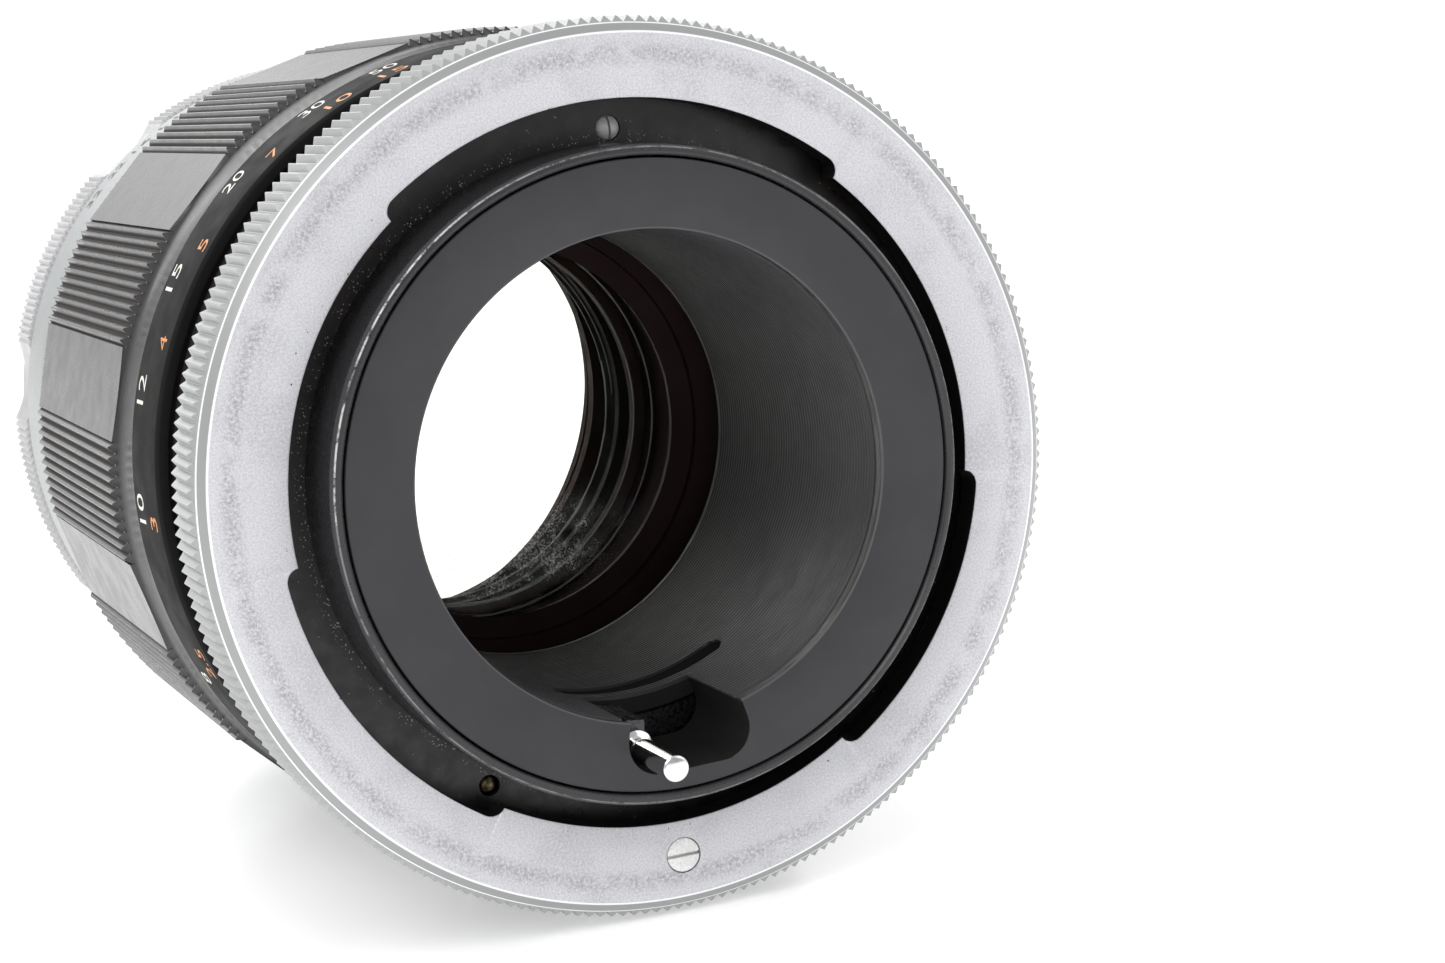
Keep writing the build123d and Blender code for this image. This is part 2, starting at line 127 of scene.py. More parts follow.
# Set and camera; the camera's place is in metres and its three directions are unit vectors
FLOOR_Z = -33.25
CAMERA_PLACE = (-0.072896, -0.206884, 0.031245)
CAMERA_RIGHT = (0.92521, -0.36823, -0.09163)
CAMERA_UP = (0.13844, 0.10272, 0.98503)
CAMERA_FORWARD = (0.35330, 0.92404, -0.14602)
FOCAL_LENGTH = 75.99


# Geometry helpers ---------------------------------------------------------------------------------
def point(radius, angle, y):
    """A point from its distance from the optical axis, its angle and its y, in metres."""
    turn = math.radians(angle)
    return (radius * math.cos(turn) * MM, y * MM, radius * math.sin(turn) * MM)


def new_object(name, vertices, faces, sharp_angle=30.0):
    mesh = bpy.data.meshes.new(name)
    mesh.from_pydata(vertices, [], faces)
    work = bmesh.new()
    work.from_mesh(mesh)
    bmesh.ops.remove_doubles(work, verts=work.verts, dist=1e-8)
    bmesh.ops.recalc_face_normals(work, faces=work.faces)
    work.to_mesh(mesh)
    work.free()
    mesh.shade_smooth()
    mesh.set_sharp_from_angle(angle=math.radians(sharp_angle))
    obj = bpy.data.objects.new(name, mesh)
    bpy.context.scene.collection.objects.link(obj)
    return obj


def finished(obj, material, body, stands_for=()):
    """Give a piece its material, the body it moves with and the CAD nodes it stands for."""
    obj.data.materials.clear()
    obj.data.materials.append(material)
    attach(obj, body)
    if stands_for:
        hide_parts(*stands_for)
    return obj


def softened(profile, size=0.12):
    """Round each corner of a closed (radius, y) profile with a short curve, so that edges catch light."""
    corners = [Vector(p) for p in profile]
    rounded = []
    for index, corner in enumerate(corners):
        before = corners[index - 1] - corner
        after = corners[(index + 1) % len(corners)] - corner
        start = corner + before * min(size / before.length, 0.4)
        end = corner + after * min(size / after.length, 0.4)
        rounded += [start, 0.25 * start + 0.5 * corner + 0.25 * end, end]
    return [(p.x, p.y) for p in rounded]


def ring(name, section_at, angles, sharp_angle=30.0):
    """A closed ring from a closed (radius, y) section at each angle; all sections have as many points."""
    vertices = []
    for angle in angles:
        vertices += [point(radius, angle, y) for radius, y in section_at(angle)]
    count = len(vertices) // len(angles)
    faces = []
    for step in range(len(angles)):
        this_row = step * count
        next_row = (step + 1) % len(angles) * count
        for index in range(count):
            following = (index + 1) % count
            faces.append((this_row + index, next_row + index, next_row + following, this_row + following))
    return new_object(name, vertices, faces, sharp_angle)


def lathe(name, profile, segments=288, sharp_angle=30.0):
    angles = np.linspace(0, 360, segments, endpoint=False)
    return ring(name, lambda angle: profile, angles, sharp_angle)


def turned_part(name, profile, centre_radius, angle, segments=48):
    """A small part turned about its own axis, parallel to the optical axis; profile is (radius, y)."""
    part = lathe(name, profile, segments)
    part.data.transform(Matrix.Translation(point(centre_radius, angle, 0)))
    return part


def cut(obj, cutter):
    """Subtract the cutter from the object and remove the cutter."""
    modifier = obj.modifiers.new("cut", "BOOLEAN")
    modifier.operation = "DIFFERENCE"
    modifier.solver = "EXACT"
    modifier.object = cutter
    evaluated = obj.evaluated_get(bpy.context.evaluated_depsgraph_get())
    mesh = bpy.data.meshes.new_from_object(evaluated)
    obj.modifiers.clear()
    obj.data = mesh
    mesh.set_sharp_from_angle(angle=math.radians(30))
    bpy.data.objects.remove(cutter)
    return obj


def prism(name, outline, start_y, end_y):
    """A solid between two y levels from an outline of (radius, angle) points."""
    near = [point(radius, angle, start_y) for radius, angle in outline]
    far = [point(radius, angle, end_y) for radius, angle in outline]
    count = len(outline)
    faces = [tuple(range(count)), tuple(range(2 * count - 1, count - 1, -1))]
    for index in range(count):
        following = (index + 1) % count
        faces.append((index, following, count + following, count + index))
    return new_object(name, near + far, faces)


def tooth_angles(teeth, phase=0.0, land=0.05):
    """Angles at both edges of each tooth's tip land and root land."""
    pitch = 360.0 / teeth
    places = [step + corner for step in range(teeth) for corner in (-land, land, 0.5 - land, 0.5 + land)]
    return sorted((phase + pitch * place) % 360 for place in places)


def tooth_depth(angle, pitch, phase=0.0, land=0.05):
    """0 on the tip of a V tooth and 1 in the valley beside it."""
    place = ((angle - phase) / pitch) % 1.0
    height = abs(2 * place - 1)
    return min(1.0, max(0.0, (height - 2 * land) / (1 - 4 * land)))


def between(start, end, share):
    return start + (end - start) * share


# Material helpers ---------------------------------------------------------------------------------
class Shader:
    """A node material made with short calls, most of which return an output socket."""

    def __init__(self, name):
        self.material = bpy.data.materials.new(name)
        self.material.use_nodes = True
        self.tree = self.material.node_tree
        self.tree.nodes.clear()
        self.output = self.tree.nodes.new("ShaderNodeOutputMaterial")
        self.place = self.add("ShaderNodeTexCoord").node.outputs["Object"]

    def put(self, node, key, value):
        if isinstance(value, bpy.types.NodeSocket):
            self.tree.links.new(value, node.inputs[key])
        else:
            node.inputs[key].default_value = value

    def add(self, kind, inputs=None, **settings):
        node = self.tree.nodes.new(kind)
        for key, value in settings.items():
            setattr(node, key, value)
        for key, value in (inputs or {}).items():
            self.put(node, key, value)
        return node.outputs[0]

    def noise(self, size, detail=3.0, stretch=(1, 1, 1), roughness=0.55):
        """Grey noise whose features are about `size` millimetres."""
        place = self.add("ShaderNodeVectorMath", {0: self.place, 1: stretch}, operation="MULTIPLY")
        inputs = {"Vector": place, "Scale": 1 / (size * MM), "Detail": detail, "Roughness": roughness}
        return self.add("ShaderNodeTexNoise", inputs)

    def specks(self, size, share):
        """1 on sparse round specks, 0 elsewhere."""
        inputs = {"Vector": self.place, "Scale": 1 / (size * MM)}
        distance = self.add("ShaderNodeTexVoronoi", inputs)
        chosen = self.ramp(self.noise(size * 2.5, 1.0), 1 - share, 1 - share + 0.02)
        return self.multiply(self.ramp(distance, 0.28, 0.18), chosen)

    def math(self, operation, first, second=0.0):
        return self.add("ShaderNodeMath", {0: first, 1: second}, operation=operation)

    def multiply(self, first, second):
        return self.math("MULTIPLY", first, second)

    def ramp(self, value, low, high, to_low=0.0, to_high=1.0):
        inputs = {"Value": value, "From Min": low, "From Max": high, "To Min": to_low, "To Max": to_high}
        return self.add("ShaderNodeMapRange", inputs, interpolation_type="SMOOTHSTEP")

    def window(self, value, low, high, soft):
        """1 between low and high, with soft sides."""
        rise = self.ramp(value, low - soft, low + soft)
        fall = self.ramp(value, high + soft, high - soft)
        return self.multiply(rise, fall)

    def radius(self):
        """Distance from the optical axis in millimetres."""
        flat = self.add("ShaderNodeVectorMath", {0: self.place, 1: (1, 0, 1)}, operation="MULTIPLY")
        node = self.tree.nodes.new("ShaderNodeVectorMath")
        node.operation = "LENGTH"
        self.put(node, 0, flat)
        return self.multiply(node.outputs["Value"], 1 / MM)

    def level(self):
        """y in millimetres."""
        node = self.tree.nodes.new("ShaderNodeSeparateXYZ")
        self.put(node, 0, self.place)
        return self.multiply(node.outputs["Y"], 1 / MM)

    def turn(self):
        """Angle about the optical axis in degrees, from +X towards +Z."""
        node = self.tree.nodes.new("ShaderNodeSeparateXYZ")
        self.put(node, 0, self.place)
        return self.multiply(self.math("ARCTAN2", node.outputs["Z"], node.outputs["X"]), 180 / math.pi)

    def mix(self, share, first, second):
        node = self.tree.nodes.new("ShaderNodeMix")
        node.data_type = "RGBA"
        self.put(node, "Factor", share)
        for key, value in ((6, first), (7, second)):
            self.put(node, key, (*value, 1.0) if isinstance(value, tuple) else value)
        return node.outputs[2]

    def bump(self, height, depth, normal=None):
        """Surface relief `depth` millimetres deep from a 0 to 1 height."""
        inputs = {"Height": height, "Distance": depth * MM, "Strength": 1.0}
        if normal is not None:
            inputs["Normal"] = normal
        return self.add("ShaderNodeBump", inputs)

    def surface(self, **inputs):
        """A Principled surface; keys are input names with _ for a space."""
        node = self.tree.nodes.new("ShaderNodeBsdfPrincipled")
        for key, value in inputs.items():
            value = (*value, 1.0) if isinstance(value, tuple) and len(value) == 3 else value
            self.put(node, key.replace("_", " "), value)
        self.tree.links.new(node.outputs[0], self.output.inputs["Surface"])
        return self.material


def metal(name, colour, dark, roughness, grain=0.25, relief=0.004, metallic=1.0):
    """Turned or blasted metal: fine grain in colour, gloss and relief."""
    shader = Shader(name)
    fine = shader.noise(grain, 4.0)
    broad = shader.noise(grain * 18, 3.0)
    tone = shader.ramp(shader.math("ADD", fine, broad), 0.75, 1.25)
    return shader.surface(
        Base_Color=shader.mix(tone, dark, colour),
        Metallic=metallic,
        Roughness=shader.ramp(fine, 0.3, 0.7, roughness * 0.8, roughness * 1.25),
        Normal=shader.bump(fine, relief),
    )


def anodised(name, colour, tint, roughness, grain=0.12, relief=0.003, dust=0.15, specular=0.5):
    """Black anodised or lacquered aluminium with faint changes of tint and gloss, and dust specks."""
    shader = Shader(name)
    fine = shader.noise(grain, 3.0)
    patches = shader.ramp(shader.noise(5.0, 4.0), 0.35, 0.7)
    specks = shader.specks(0.35, dust)
    base = shader.mix(patches, colour, tint)
    return shader.surface(
        Base_Color=shader.mix(shader.multiply(specks, 0.6), base, (0.35, 0.34, 0.33)),
        Roughness=shader.ramp(shader.noise(2.4, 3.0), 0.3, 0.75, roughness * 0.92, roughness * 1.12),
        Normal=shader.bump(fine, relief),
        Specular_IOR_Level=specular,
    )


def breech_metal():
    """Bead-blasted clear-anodised aluminium: worn dirty band, polished bevel with rubbed edges carrying a
    painted highlight, and blacked inner wall.
    """
    shader = Shader("bead_blasted_aluminium")
    radius = shader.radius()
    level = shader.level()
    fine = shader.noise(0.07, 3.0)
    grain = shader.noise(0.15, 4.0)
    broken = shader.ramp(shader.noise(2.6, 5.0, roughness=0.7), 0.34, 0.56)
    scuffs = shader.ramp(shader.noise(0.26, 5.0, roughness=0.8), 0.40, 0.60)
    band = shader.window(radius, 29.6, 30.9, 0.6)
    dirt = shader.multiply(shader.multiply(band, broken), scuffs)
    faint_dirt = shader.multiply(shader.ramp(shader.noise(5.0, 5.0), 0.44, 0.68), scuffs)
    stain = shader.math("MAXIMUM", dirt, shader.multiply(faint_dirt, 0.42))
    edge = shader.window(radius, 26.0, 27.3, 0.3)
    specks = shader.multiply(shader.specks(0.35, 0.35), edge)
    blasted = shader.ramp(fine, 0.3, 0.7, 0.40, 0.58)
    clean = shader.mix(shader.ramp(grain, 0.36, 0.64), (0.57, 0.57, 0.60), (0.70, 0.70, 0.73))
    worn = shader.mix(shader.multiply(stain, 0.62), clean, (0.20, 0.19, 0.19))
    spotted = shader.mix(specks, worn, (0.05, 0.04, 0.035))
    bevel = shader.ramp(radius, 31.86, 31.92)
    teeth = shader.ramp(radius, 32.5, 32.56)
    shone = shader.mix(bevel, spotted, shader.mix(teeth, (0.33, 0.335, 0.335), (0.36, 0.37, 0.365)))
    # Near-white on the two corners of the bevel, rear side only: partly rubbed wear, partly a painted
    # highlight along the edges.
    corners = shader.math(
        "MAXIMUM", shader.window(radius, 31.74, 31.88, 0.04), shader.window(radius, 32.44, 32.52, 0.03))
    worn_and_highlit = shader.mix(shader.multiply(corners, shader.ramp(level, 1.0, 0.8)), shone, (0.97, 0.97, 0.98))
    inner_wall = shader.multiply(shader.ramp(radius, 27.2, 27.16), shader.ramp(level, 0.06, 0.14))
    return shader.surface(
        Base_Color=shader.mix(inner_wall, worn_and_highlit, (0.008, 0.009, 0.008)),
        Metallic=shader.ramp(bevel, 0.0, 1.0, 0.45, 0.35),
        Roughness=shader.math("SUBTRACT", blasted, shader.multiply(bevel, 0.1)),
        Normal=shader.bump(fine, 0.007, shader.bump(grain, 0.004)),
    )


def lip_metal():
    """Satin black lip whose outer corner carries a thin painted highlight, brightest towards the upper left
    and broken by scratch noise into rubbed wear in places.
    """
    shader = Shader("worn_highlit_black_lip")
    scratches = shader.ramp(shader.noise(1.6, 6.0, roughness=0.8), 0.40, 0.56)
    rear_side = shader.ramp(shader.level(), -2.85, -3.0)
    corner = shader.multiply(rear_side, shader.window(shader.radius(), 23.60, 23.70, 0.03))
    # Painted highlight on the lip's outer corner: it fades away from the upper left, the side the key light
    # falls on, and scratch noise breaks it up like rubbed wear.
    from_upper_left = shader.math("ABSOLUTE", shader.math("SUBTRACT", shader.turn(), 150.0))
    worn_and_highlit = shader.ramp(from_upper_left, 12.0, 55.0, 1.0, 0.22)
    wear_and_highlight = shader.multiply(shader.multiply(scratches, corner), worn_and_highlit)
    return shader.surface(
        Base_Color=shader.mix(wear_and_highlight, (0.024, 0.024, 0.026), (0.80, 0.80, 0.80)),
        Metallic=wear_and_highlight,
        Roughness=shader.ramp(shader.noise(0.4, 3.0), 0.3, 0.7, 0.26, 0.38),
        Normal=shader.bump(shader.noise(0.25, 3.0), 0.003),
    )


def plate_black():
    """Satin black plate and bore; the walls of the slot and the slit are dull, and painted shade makes them
    nearly black.
    """
    shader = Shader("satin_black_plate")
    radius = shader.radius()
    level = shader.level()
    thread_root = BORE_RADIUS + THREAD_DEPTH
    behind_face = shader.ramp(level, PLATE_FACE_Y + 0.07, PLATE_FACE_Y + 0.15)
    cut_wall = shader.multiply(behind_face, shader.ramp(radius, thread_root + 0.03, thread_root + 0.08))
    bore_wall = shader.multiply(behind_face, shader.ramp(radius, thread_root + 0.08, thread_root + 0.03))
    specks = shader.multiply(shader.specks(0.3, 0.10), 0.5)
    tone = shader.ramp(shader.noise(6.0, 3.0), 0.35, 0.65)
    face = shader.mix(tone, (0.030, 0.030, 0.034), (0.035, 0.035, 0.039))
    dusty = shader.mix(specks, face, (0.35, 0.34, 0.33))
    lined = shader.mix(bore_wall, dusty, (0.033, 0.031, 0.034))
    edge_level = shader.window(level, PLATE_FACE_Y + 0.04, PLATE_FACE_Y + 0.16, 0.03)
    bore_edge = shader.multiply(edge_level, shader.ramp(radius, thread_root + 0.02, thread_root - 0.02))
    edged = shader.mix(bore_edge, lined, (0.11, 0.11, 0.115))
    # Painted shade on the cut walls: nearly black in the slot, a little lighter in the slit.
    in_slit = shader.ramp(level, SLOT_END_Y - 0.2, SLOT_END_Y + 0.2)
    cut_wall_shade = shader.mix(in_slit, (0.003, 0.002, 0.002), (0.010, 0.010, 0.011))
    gloss = shader.ramp(shader.noise(1.6, 4.0), 0.3, 0.75, 0.40, 0.50)
    return shader.surface(
        Base_Color=shader.mix(cut_wall, edged, cut_wall_shade),
        Roughness=shader.ramp(cut_wall, 0.0, 1.0, gloss, 0.85),
        Specular_IOR_Level=0.4,
        Normal=shader.bump(shader.noise(0.1, 3.0), 0.002),
    )


def flange_black():
    """Lacquered flange, with brown stains and dust gathered in the crease by the throat."""
    shader = Shader("dusty_black_flange")
    radius = shader.radius()
    crease = shader.window(radius, 23.6, 24.6, 0.4)
    open_face = shader.multiply(shader.specks(0.3, 0.30), 0.4)
    crease_dust = shader.multiply(shader.specks(0.22, 0.55), shader.multiply(crease, 0.85))
    dust = shader.math("MAXIMUM", open_face, crease_dust)
    stain = shader.ramp(shader.noise(4.0, 5.0), 0.45, 0.75)
    base = shader.mix(stain, (0.012, 0.012, 0.012), (0.020, 0.014, 0.012))
    return shader.surface(
        Base_Color=shader.mix(dust, base, (0.50, 0.48, 0.45)),
        Roughness=shader.ramp(shader.noise(1.2, 4.0), 0.3, 0.75, 0.26, 0.42),
        Normal=shader.bump(shader.noise(0.15, 4.0), 0.004),
    )


def grip_black():
    """Anodised grip: clean tops and flats, brownish dirt in the grooves."""
    shader = Shader("grip_black")
    hill_pitch = 360.0 / GRIP_HILLS
    place = shader.math("SUBTRACT", shader.turn(), GRIP_HILL_ANGLE - hill_pitch / 2)
    from_hill = shader.math("SUBTRACT", shader.math("FLOORED_MODULO", place, hill_pitch), hill_pitch / 2)
    on_hill = shader.ramp(shader.math("ABSOLUTE", from_hill), 8.7, 8.3)
    on_grip = shader.multiply(on_hill, shader.ramp(shader.level(), 29.4, 29.9))
    radius = shader.radius()
    valley = shader.multiply(shader.ramp(radius, 33.12, 32.84), shader.ramp(radius, 32.66, 32.72))
    groove = shader.multiply(valley, on_grip)
    ribbed = shader.multiply(groove, shader.ramp(shader.noise(1.6, 2.0), 0.25, 0.75, 0.35, 1.0))
    gloss = shader.ramp(shader.noise(2.5, 3.0), 0.3, 0.75, 0.26, 0.33)
    tone = shader.ramp(shader.noise(7.0, 3.0), 0.35, 0.65)
    base = shader.mix(tone, (0.018, 0.017, 0.018), (0.023, 0.022, 0.022))
    return shader.surface(
        Base_Color=shader.mix(shader.multiply(ribbed, 0.7), base, (0.036, 0.026, 0.020)),
        Roughness=shader.ramp(groove, 0.0, 1.0, gloss, 0.75),
        Normal=shader.bump(shader.noise(0.5, 2.0), 0.0002),
    )


def coated(shader, clear, index, strength):
    """The clear shader under a faint tinted mirror that grows towards grazing angles."""
    patches = shader.ramp(shader.noise(9.0, 2.0), 0.4, 0.6)
    tint = shader.mix(patches, (0.70, 0.40, 0.60), (0.65, 0.50, 0.50))
    mirror = shader.add("ShaderNodeBsdfGlossy", {"Color": tint, "Roughness": 0.02})
    shine = shader.multiply(shader.add("ShaderNodeFresnel", {"IOR": index}), strength)
    return shader.add("ShaderNodeMixShader", {0: shine, 1: clear, 2: mirror})


def edge_ink(shader):
    """The dull brownish black on the edge of an element."""
    inputs = {"Base Color": (0.024, 0.014, 0.012, 1.0), "Roughness": 0.9, "Specular IOR Level": 0.05}
    return shader.add("ShaderNodeBsdfPrincipled", inputs)


def blacked_outside(shader, pane, ink, radius, soft):
    """Close a glass material: the pane inside a radius and the ink outside it."""
    blacked = shader.ramp(shader.radius(), radius, radius + soft)
    whole = shader.add("ShaderNodeMixShader", {0: blacked, 1: pane, 2: ink})
    shader.tree.links.new(whole, shader.output.inputs["Surface"])
    return shader.material


def glass(name, clear_radius):
    """Coated glass in front of the iris; with an index of 1 it doesn't bend light."""
    shader = Shader(name)
    clear_inputs = {"Color": (1.0, 1.0, 0.995, 1.0), "IOR": 1.0, "Roughness": 0.0}
    clear = shader.add("ShaderNodeBsdfRefraction", clear_inputs)
    pane = coated(shader, clear, 1.12, 0.6)
    return blacked_outside(shader, pane, edge_ink(shader), clear_radius, 0.06)


def haze_share(shader):
    """Share of the film on the rear pair: scratched haze low on its rear surface, and dust all over."""
    smear = shader.ramp(shader.noise(3.0, 5.0, roughness=0.7), 0.36, 0.62)
    scratches = shader.ramp(shader.noise(0.2, 6.0, roughness=0.85), 0.42, 0.66)
    from_middle = shader.math("ABSOLUTE", shader.math("SUBTRACT", shader.turn(), HAZE_ANGLE))
    low_side = shader.ramp(from_middle, 75.0, 30.0, 0.04, 1.0)
    band = shader.multiply(low_side, shader.window(shader.radius(), 9.0, 14.6, 2.0))
    cloud = shader.multiply(shader.multiply(smear, scratches), band)
    on_rear = shader.ramp(shader.level(), REAR_SURFACE_END_Y + 0.1, REAR_SURFACE_END_Y - 0.1)
    haze = shader.multiply(shader.multiply(cloud, on_rear), 0.75)
    dust = shader.multiply(shader.specks(0.5, 0.10), 0.25)
    return shader.math("MAXIMUM", haze, dust)


def rear_glass():
    """Coated glass of the rear pair, which light passes straight, with ground rims, haze and dust."""
    shader = Shader("rear_glass")
    level = shader.level()
    clear = shader.add("ShaderNodeBsdfTransparent", {"Color": (0.99, 0.995, 0.98, 1.0)})
    pane = coated(shader, clear, 1.05, 0.25)
    ink = edge_ink(shader)
    film = shader.add("ShaderNodeBsdfTranslucent", {"Color": (0.80, 0.82, 0.84, 1.0)})
    pane = shader.add("ShaderNodeMixShader", {0: haze_share(shader), 1: pane, 2: film})
    front_surface = (level, FRONT_SURFACE_START_Y - 0.1, FRONT_SURFACE_START_Y + 0.1)
    rim_radius = shader.ramp(*front_surface, RIM_RADIUS, FRONT_RIM_RADIUS)
    past_rim = shader.math("SUBTRACT", shader.radius(), rim_radius)
    rim = shader.multiply(shader.window(past_rim, 0.0, 0.15, 0.03), shader.ramp(*front_surface, 1.0, 0.6))
    grey = shader.ramp(level, REAR_SURFACE_END_Y - 0.1, REAR_SURFACE_END_Y + 0.1, 0.08, 0.42)
    rim_colour = shader.mix(grey, (0.0, 0.0, 0.0), (1.0, 0.97, 0.90))
    ground = shader.add("ShaderNodeBsdfPrincipled", {"Base Color": rim_colour, "Roughness": 0.45})
    pane = shader.add("ShaderNodeMixShader", {0: rim, 1: pane, 2: ground})
    return blacked_outside(shader, pane, ink, REAR_CLEAR_RADIUS, 0.05)


def paint(name, colour):
    """Slightly uneven enamel of the marks."""
    shader = Shader(name)
    shade = shader.ramp(shader.noise(0.25, 3.0), 0.35, 0.65)
    worn = tuple(0.72 * channel for channel in colour)
    return shader.surface(
        Base_Color=shader.mix(shade, worn, colour),
        Roughness=shader.ramp(shader.noise(0.5, 2.0), 0.3, 0.7, 0.4, 0.6),
        Normal=shader.bump(shader.noise(0.12, 3.0), 0.006),
    )


# Materials ----------------------------------------------------------------------------------------
BREECH = breech_metal()
STEEL = metal("turned_steel", (0.92, 0.92, 0.91), (0.70, 0.70, 0.69), 0.42, grain=0.2, metallic=0.12)
POLISHED = metal("polished_steel", (0.90, 0.90, 0.90), (0.78, 0.78, 0.79), 0.12, grain=0.3, relief=0.001)
BRASS = metal(
    "aged_brass", (0.62, 0.46, 0.25), (0.05, 0.035, 0.02), 0.35, grain=0.3, relief=0.02, metallic=0.5)
SILVER = metal("satin_silver", (0.42, 0.42, 0.43), (0.36, 0.36, 0.365), 0.38, grain=0.12, metallic=0.35)
SATIN = metal("satin_grey_ring", (0.30, 0.315, 0.315), (0.275, 0.29, 0.29), 0.38, grain=0.15, metallic=0.35)
DARK_STEEL = metal("blued_steel", (0.10, 0.10, 0.11), (0.04, 0.04, 0.045), 0.3, grain=0.3)
BLADE_STEEL = metal("blade_steel", (0.06, 0.06, 0.065), (0.03, 0.03, 0.032), 0.5, grain=0.3, metallic=0.4)
FACE_BLACK = plate_black()
MATT_BLACK = anodised(
    "matt_black", (0.016, 0.013, 0.014), (0.022, 0.017, 0.018), 0.7, dust=0.08, specular=0.08)
FLANGE_BLACK = flange_black()
SCALE_BLACK = anodised(
    "scale_black", (0.012, 0.012, 0.012), (0.015, 0.014, 0.014), 0.62, relief=0.001, dust=0.08, specular=0.08)
GRIP_BLACK = grip_black()
CELL_BLACK = anodised(
    "cell_black", (0.038, 0.021, 0.023), (0.046, 0.027, 0.028), 0.7, relief=0.001, dust=0.03, specular=0.08)
LIP = lip_metal()
WHITE_PAINT = paint("white_enamel", (0.85, 0.84, 0.76))
ORANGE_PAINT = paint("orange_enamel", (0.75, 0.28, 0.05))
RED_PAINT = paint("red_enamel", (0.55, 0.03, 0.02))
BLACK_PAINT = paint("black_enamel", (0.02, 0.02, 0.02))
REAR_GLASS = rear_glass()
FRONT_GLASS = glass("front_glass", FRONT_CLEAR_RADIUS)
INNER_GLASS = glass("inner_glass", INNER_CLEAR_RADIUS)

NODE_MATERIALS = {
    "mount_flange": FLANGE_BLACK, "main_barrel": MATT_BLACK, "guide_keys": BRASS,
    "focus_retaining_ring": BRASS, "focus_carrier": MATT_BLACK,
    "lever_ring": DARK_STEEL, "lever_spring": DARK_STEEL,
    "inner_helicoid": MATT_BLACK, "front_barrel": MATT_BLACK, "front_screws": STEEL, "rear_cell": CELL_BLACK,
    "rear_retaining_ring": CELL_BLACK, "middle_cell": CELL_BLACK, "third_element_ring": CELL_BLACK,
    "second_element_ring": CELL_BLACK, "front_spacer": CELL_BLACK, "name_ring": SCALE_BLACK,
    "rear_positive_element": REAR_GLASS, "rear_negative_element": REAR_GLASS, "third_element": INNER_GLASS,
    "second_element": INNER_GLASS, "front_element": FRONT_GLASS, "iris_base_plate": MATT_BLACK,
    "iris_cover": MATT_BLACK, "iris_cam_ring": BRASS, "iris_drive_pin": STEEL, "click_ball": POLISHED,
}


def dress_cad_nodes():
    """Give every CAD node that stays in view its procedural material."""
    for name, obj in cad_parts.items():
        material = BLADE_STEEL if name.startswith("iris_blade") else NODE_MATERIALS.get(name)
        if material:
            obj.data.materials.clear()
            obj.data.materials.append(material)


# Rear end -----------------------------------------------------------------------------------------
def recess_share(angle):
    """0 on a lug and 1 in a recess of the breech ring, with rounded ends between them."""
    for start, end in LUG_RECESSES:
        if start < angle < end:
            inside = min(1.0, min(angle - start, end - angle) / RECESS_END_SPAN)
            return math.sqrt(1 - (1 - inside) ** 2)
    return 0.0


def breech_section(angle):
    depth = tooth_depth(angle, 360.0 / BREECH_TEETH)
    outer = between(BREECH_RADIUS, BREECH_VALLEY_RADIUS, depth)
    shoulder_y = between(1.1, 0.72, depth)
    inner = between(LUG_RADIUS, RECESS_RADIUS, recess_share(angle))
    return [
        (inner, 0.18), (inner + 0.05, 0.05), (inner + 0.18, 0.0), (31.72, 0.0), (31.82, 0.03), (31.90, 0.09),
        (32.42, 0.55), (32.48, 0.62), (32.52, 0.68), (outer, shoulder_y), (outer, 7.5 - shoulder_y),
        (32.3, 6.95), (30.0, 7.0), (30.0, 7.2), (27.08, 7.2), (27.08, 6.2), (29.3, 6.2), (29.3, 2.4),
        (inner + 0.1, 2.4), (inner, 2.3),
    ]


def breech_ring():
    angles = set(np.round(tooth_angles(BREECH_TEETH, land=0.04), 4))
    insets = [RECESS_END_SPAN * share for share in (0.0, 0.02, 0.08, 0.2)]
    for start, end in LUG_RECESSES:
        angles.update(start + inset for inset in insets)
        angles.update(end - inset for inset in insets)
    ring_piece = ring("breech_ring_knurled", breech_section, sorted(angles), 24.0)
    screw_radius, screw_angle, head_y, head_radius = STOP_SCREW
    pocket_radius = head_radius + 0.06
    pocket = [(NEAR_AXIS, head_y - 1.0), (pocket_radius, head_y - 1.0)]
    pocket += [(pocket_radius, 1.25), (NEAR_AXIS, 1.25)]
    cut(ring_piece, turned_part("pocket", pocket, screw_radius, screw_angle))
    finished(ring_piece, BREECH, "breech_lock", ["breech_ring"])


def slotted_head(name, place, body, stands_for, slot_turn, dome):
    """A screw head with a crowned top, rounded rim and a screwdriver slot."""
    from_axis, angle, head_y, head_radius = place
    shank_radius = 0.5 * head_radius
    profile = [(NEAR_AXIS, head_y - dome), (shank_radius, head_y - 0.8 * dome)]
    profile += [(0.85 * head_radius, head_y - 0.3 * dome), (0.96 * head_radius, head_y + 0.05)]
    profile += [(head_radius, head_y + 0.15), (head_radius, head_y + 0.66)]
    profile += [(shank_radius, head_y + 0.68), (shank_radius, head_y + 2.6), (NEAR_AXIS, head_y + 2.6)]
    head = turned_part(name, profile, from_axis, angle)
    bpy.ops.mesh.primitive_cube_add(size=1)
    cutter = bpy.context.object
    size = (2.4 * head_radius * MM, 0.9 * MM, 0.2 * head_radius * MM)
    turn = Matrix.Rotation(-math.radians(angle + slot_turn), 4, "Y")
    centre = Matrix.Translation(point(from_axis, angle, head_y))
    cutter.matrix_world = centre @ turn @ Matrix.Diagonal((*size, 1))
    cut(head, cutter)
    finished(head, STEEL, body, stands_for)


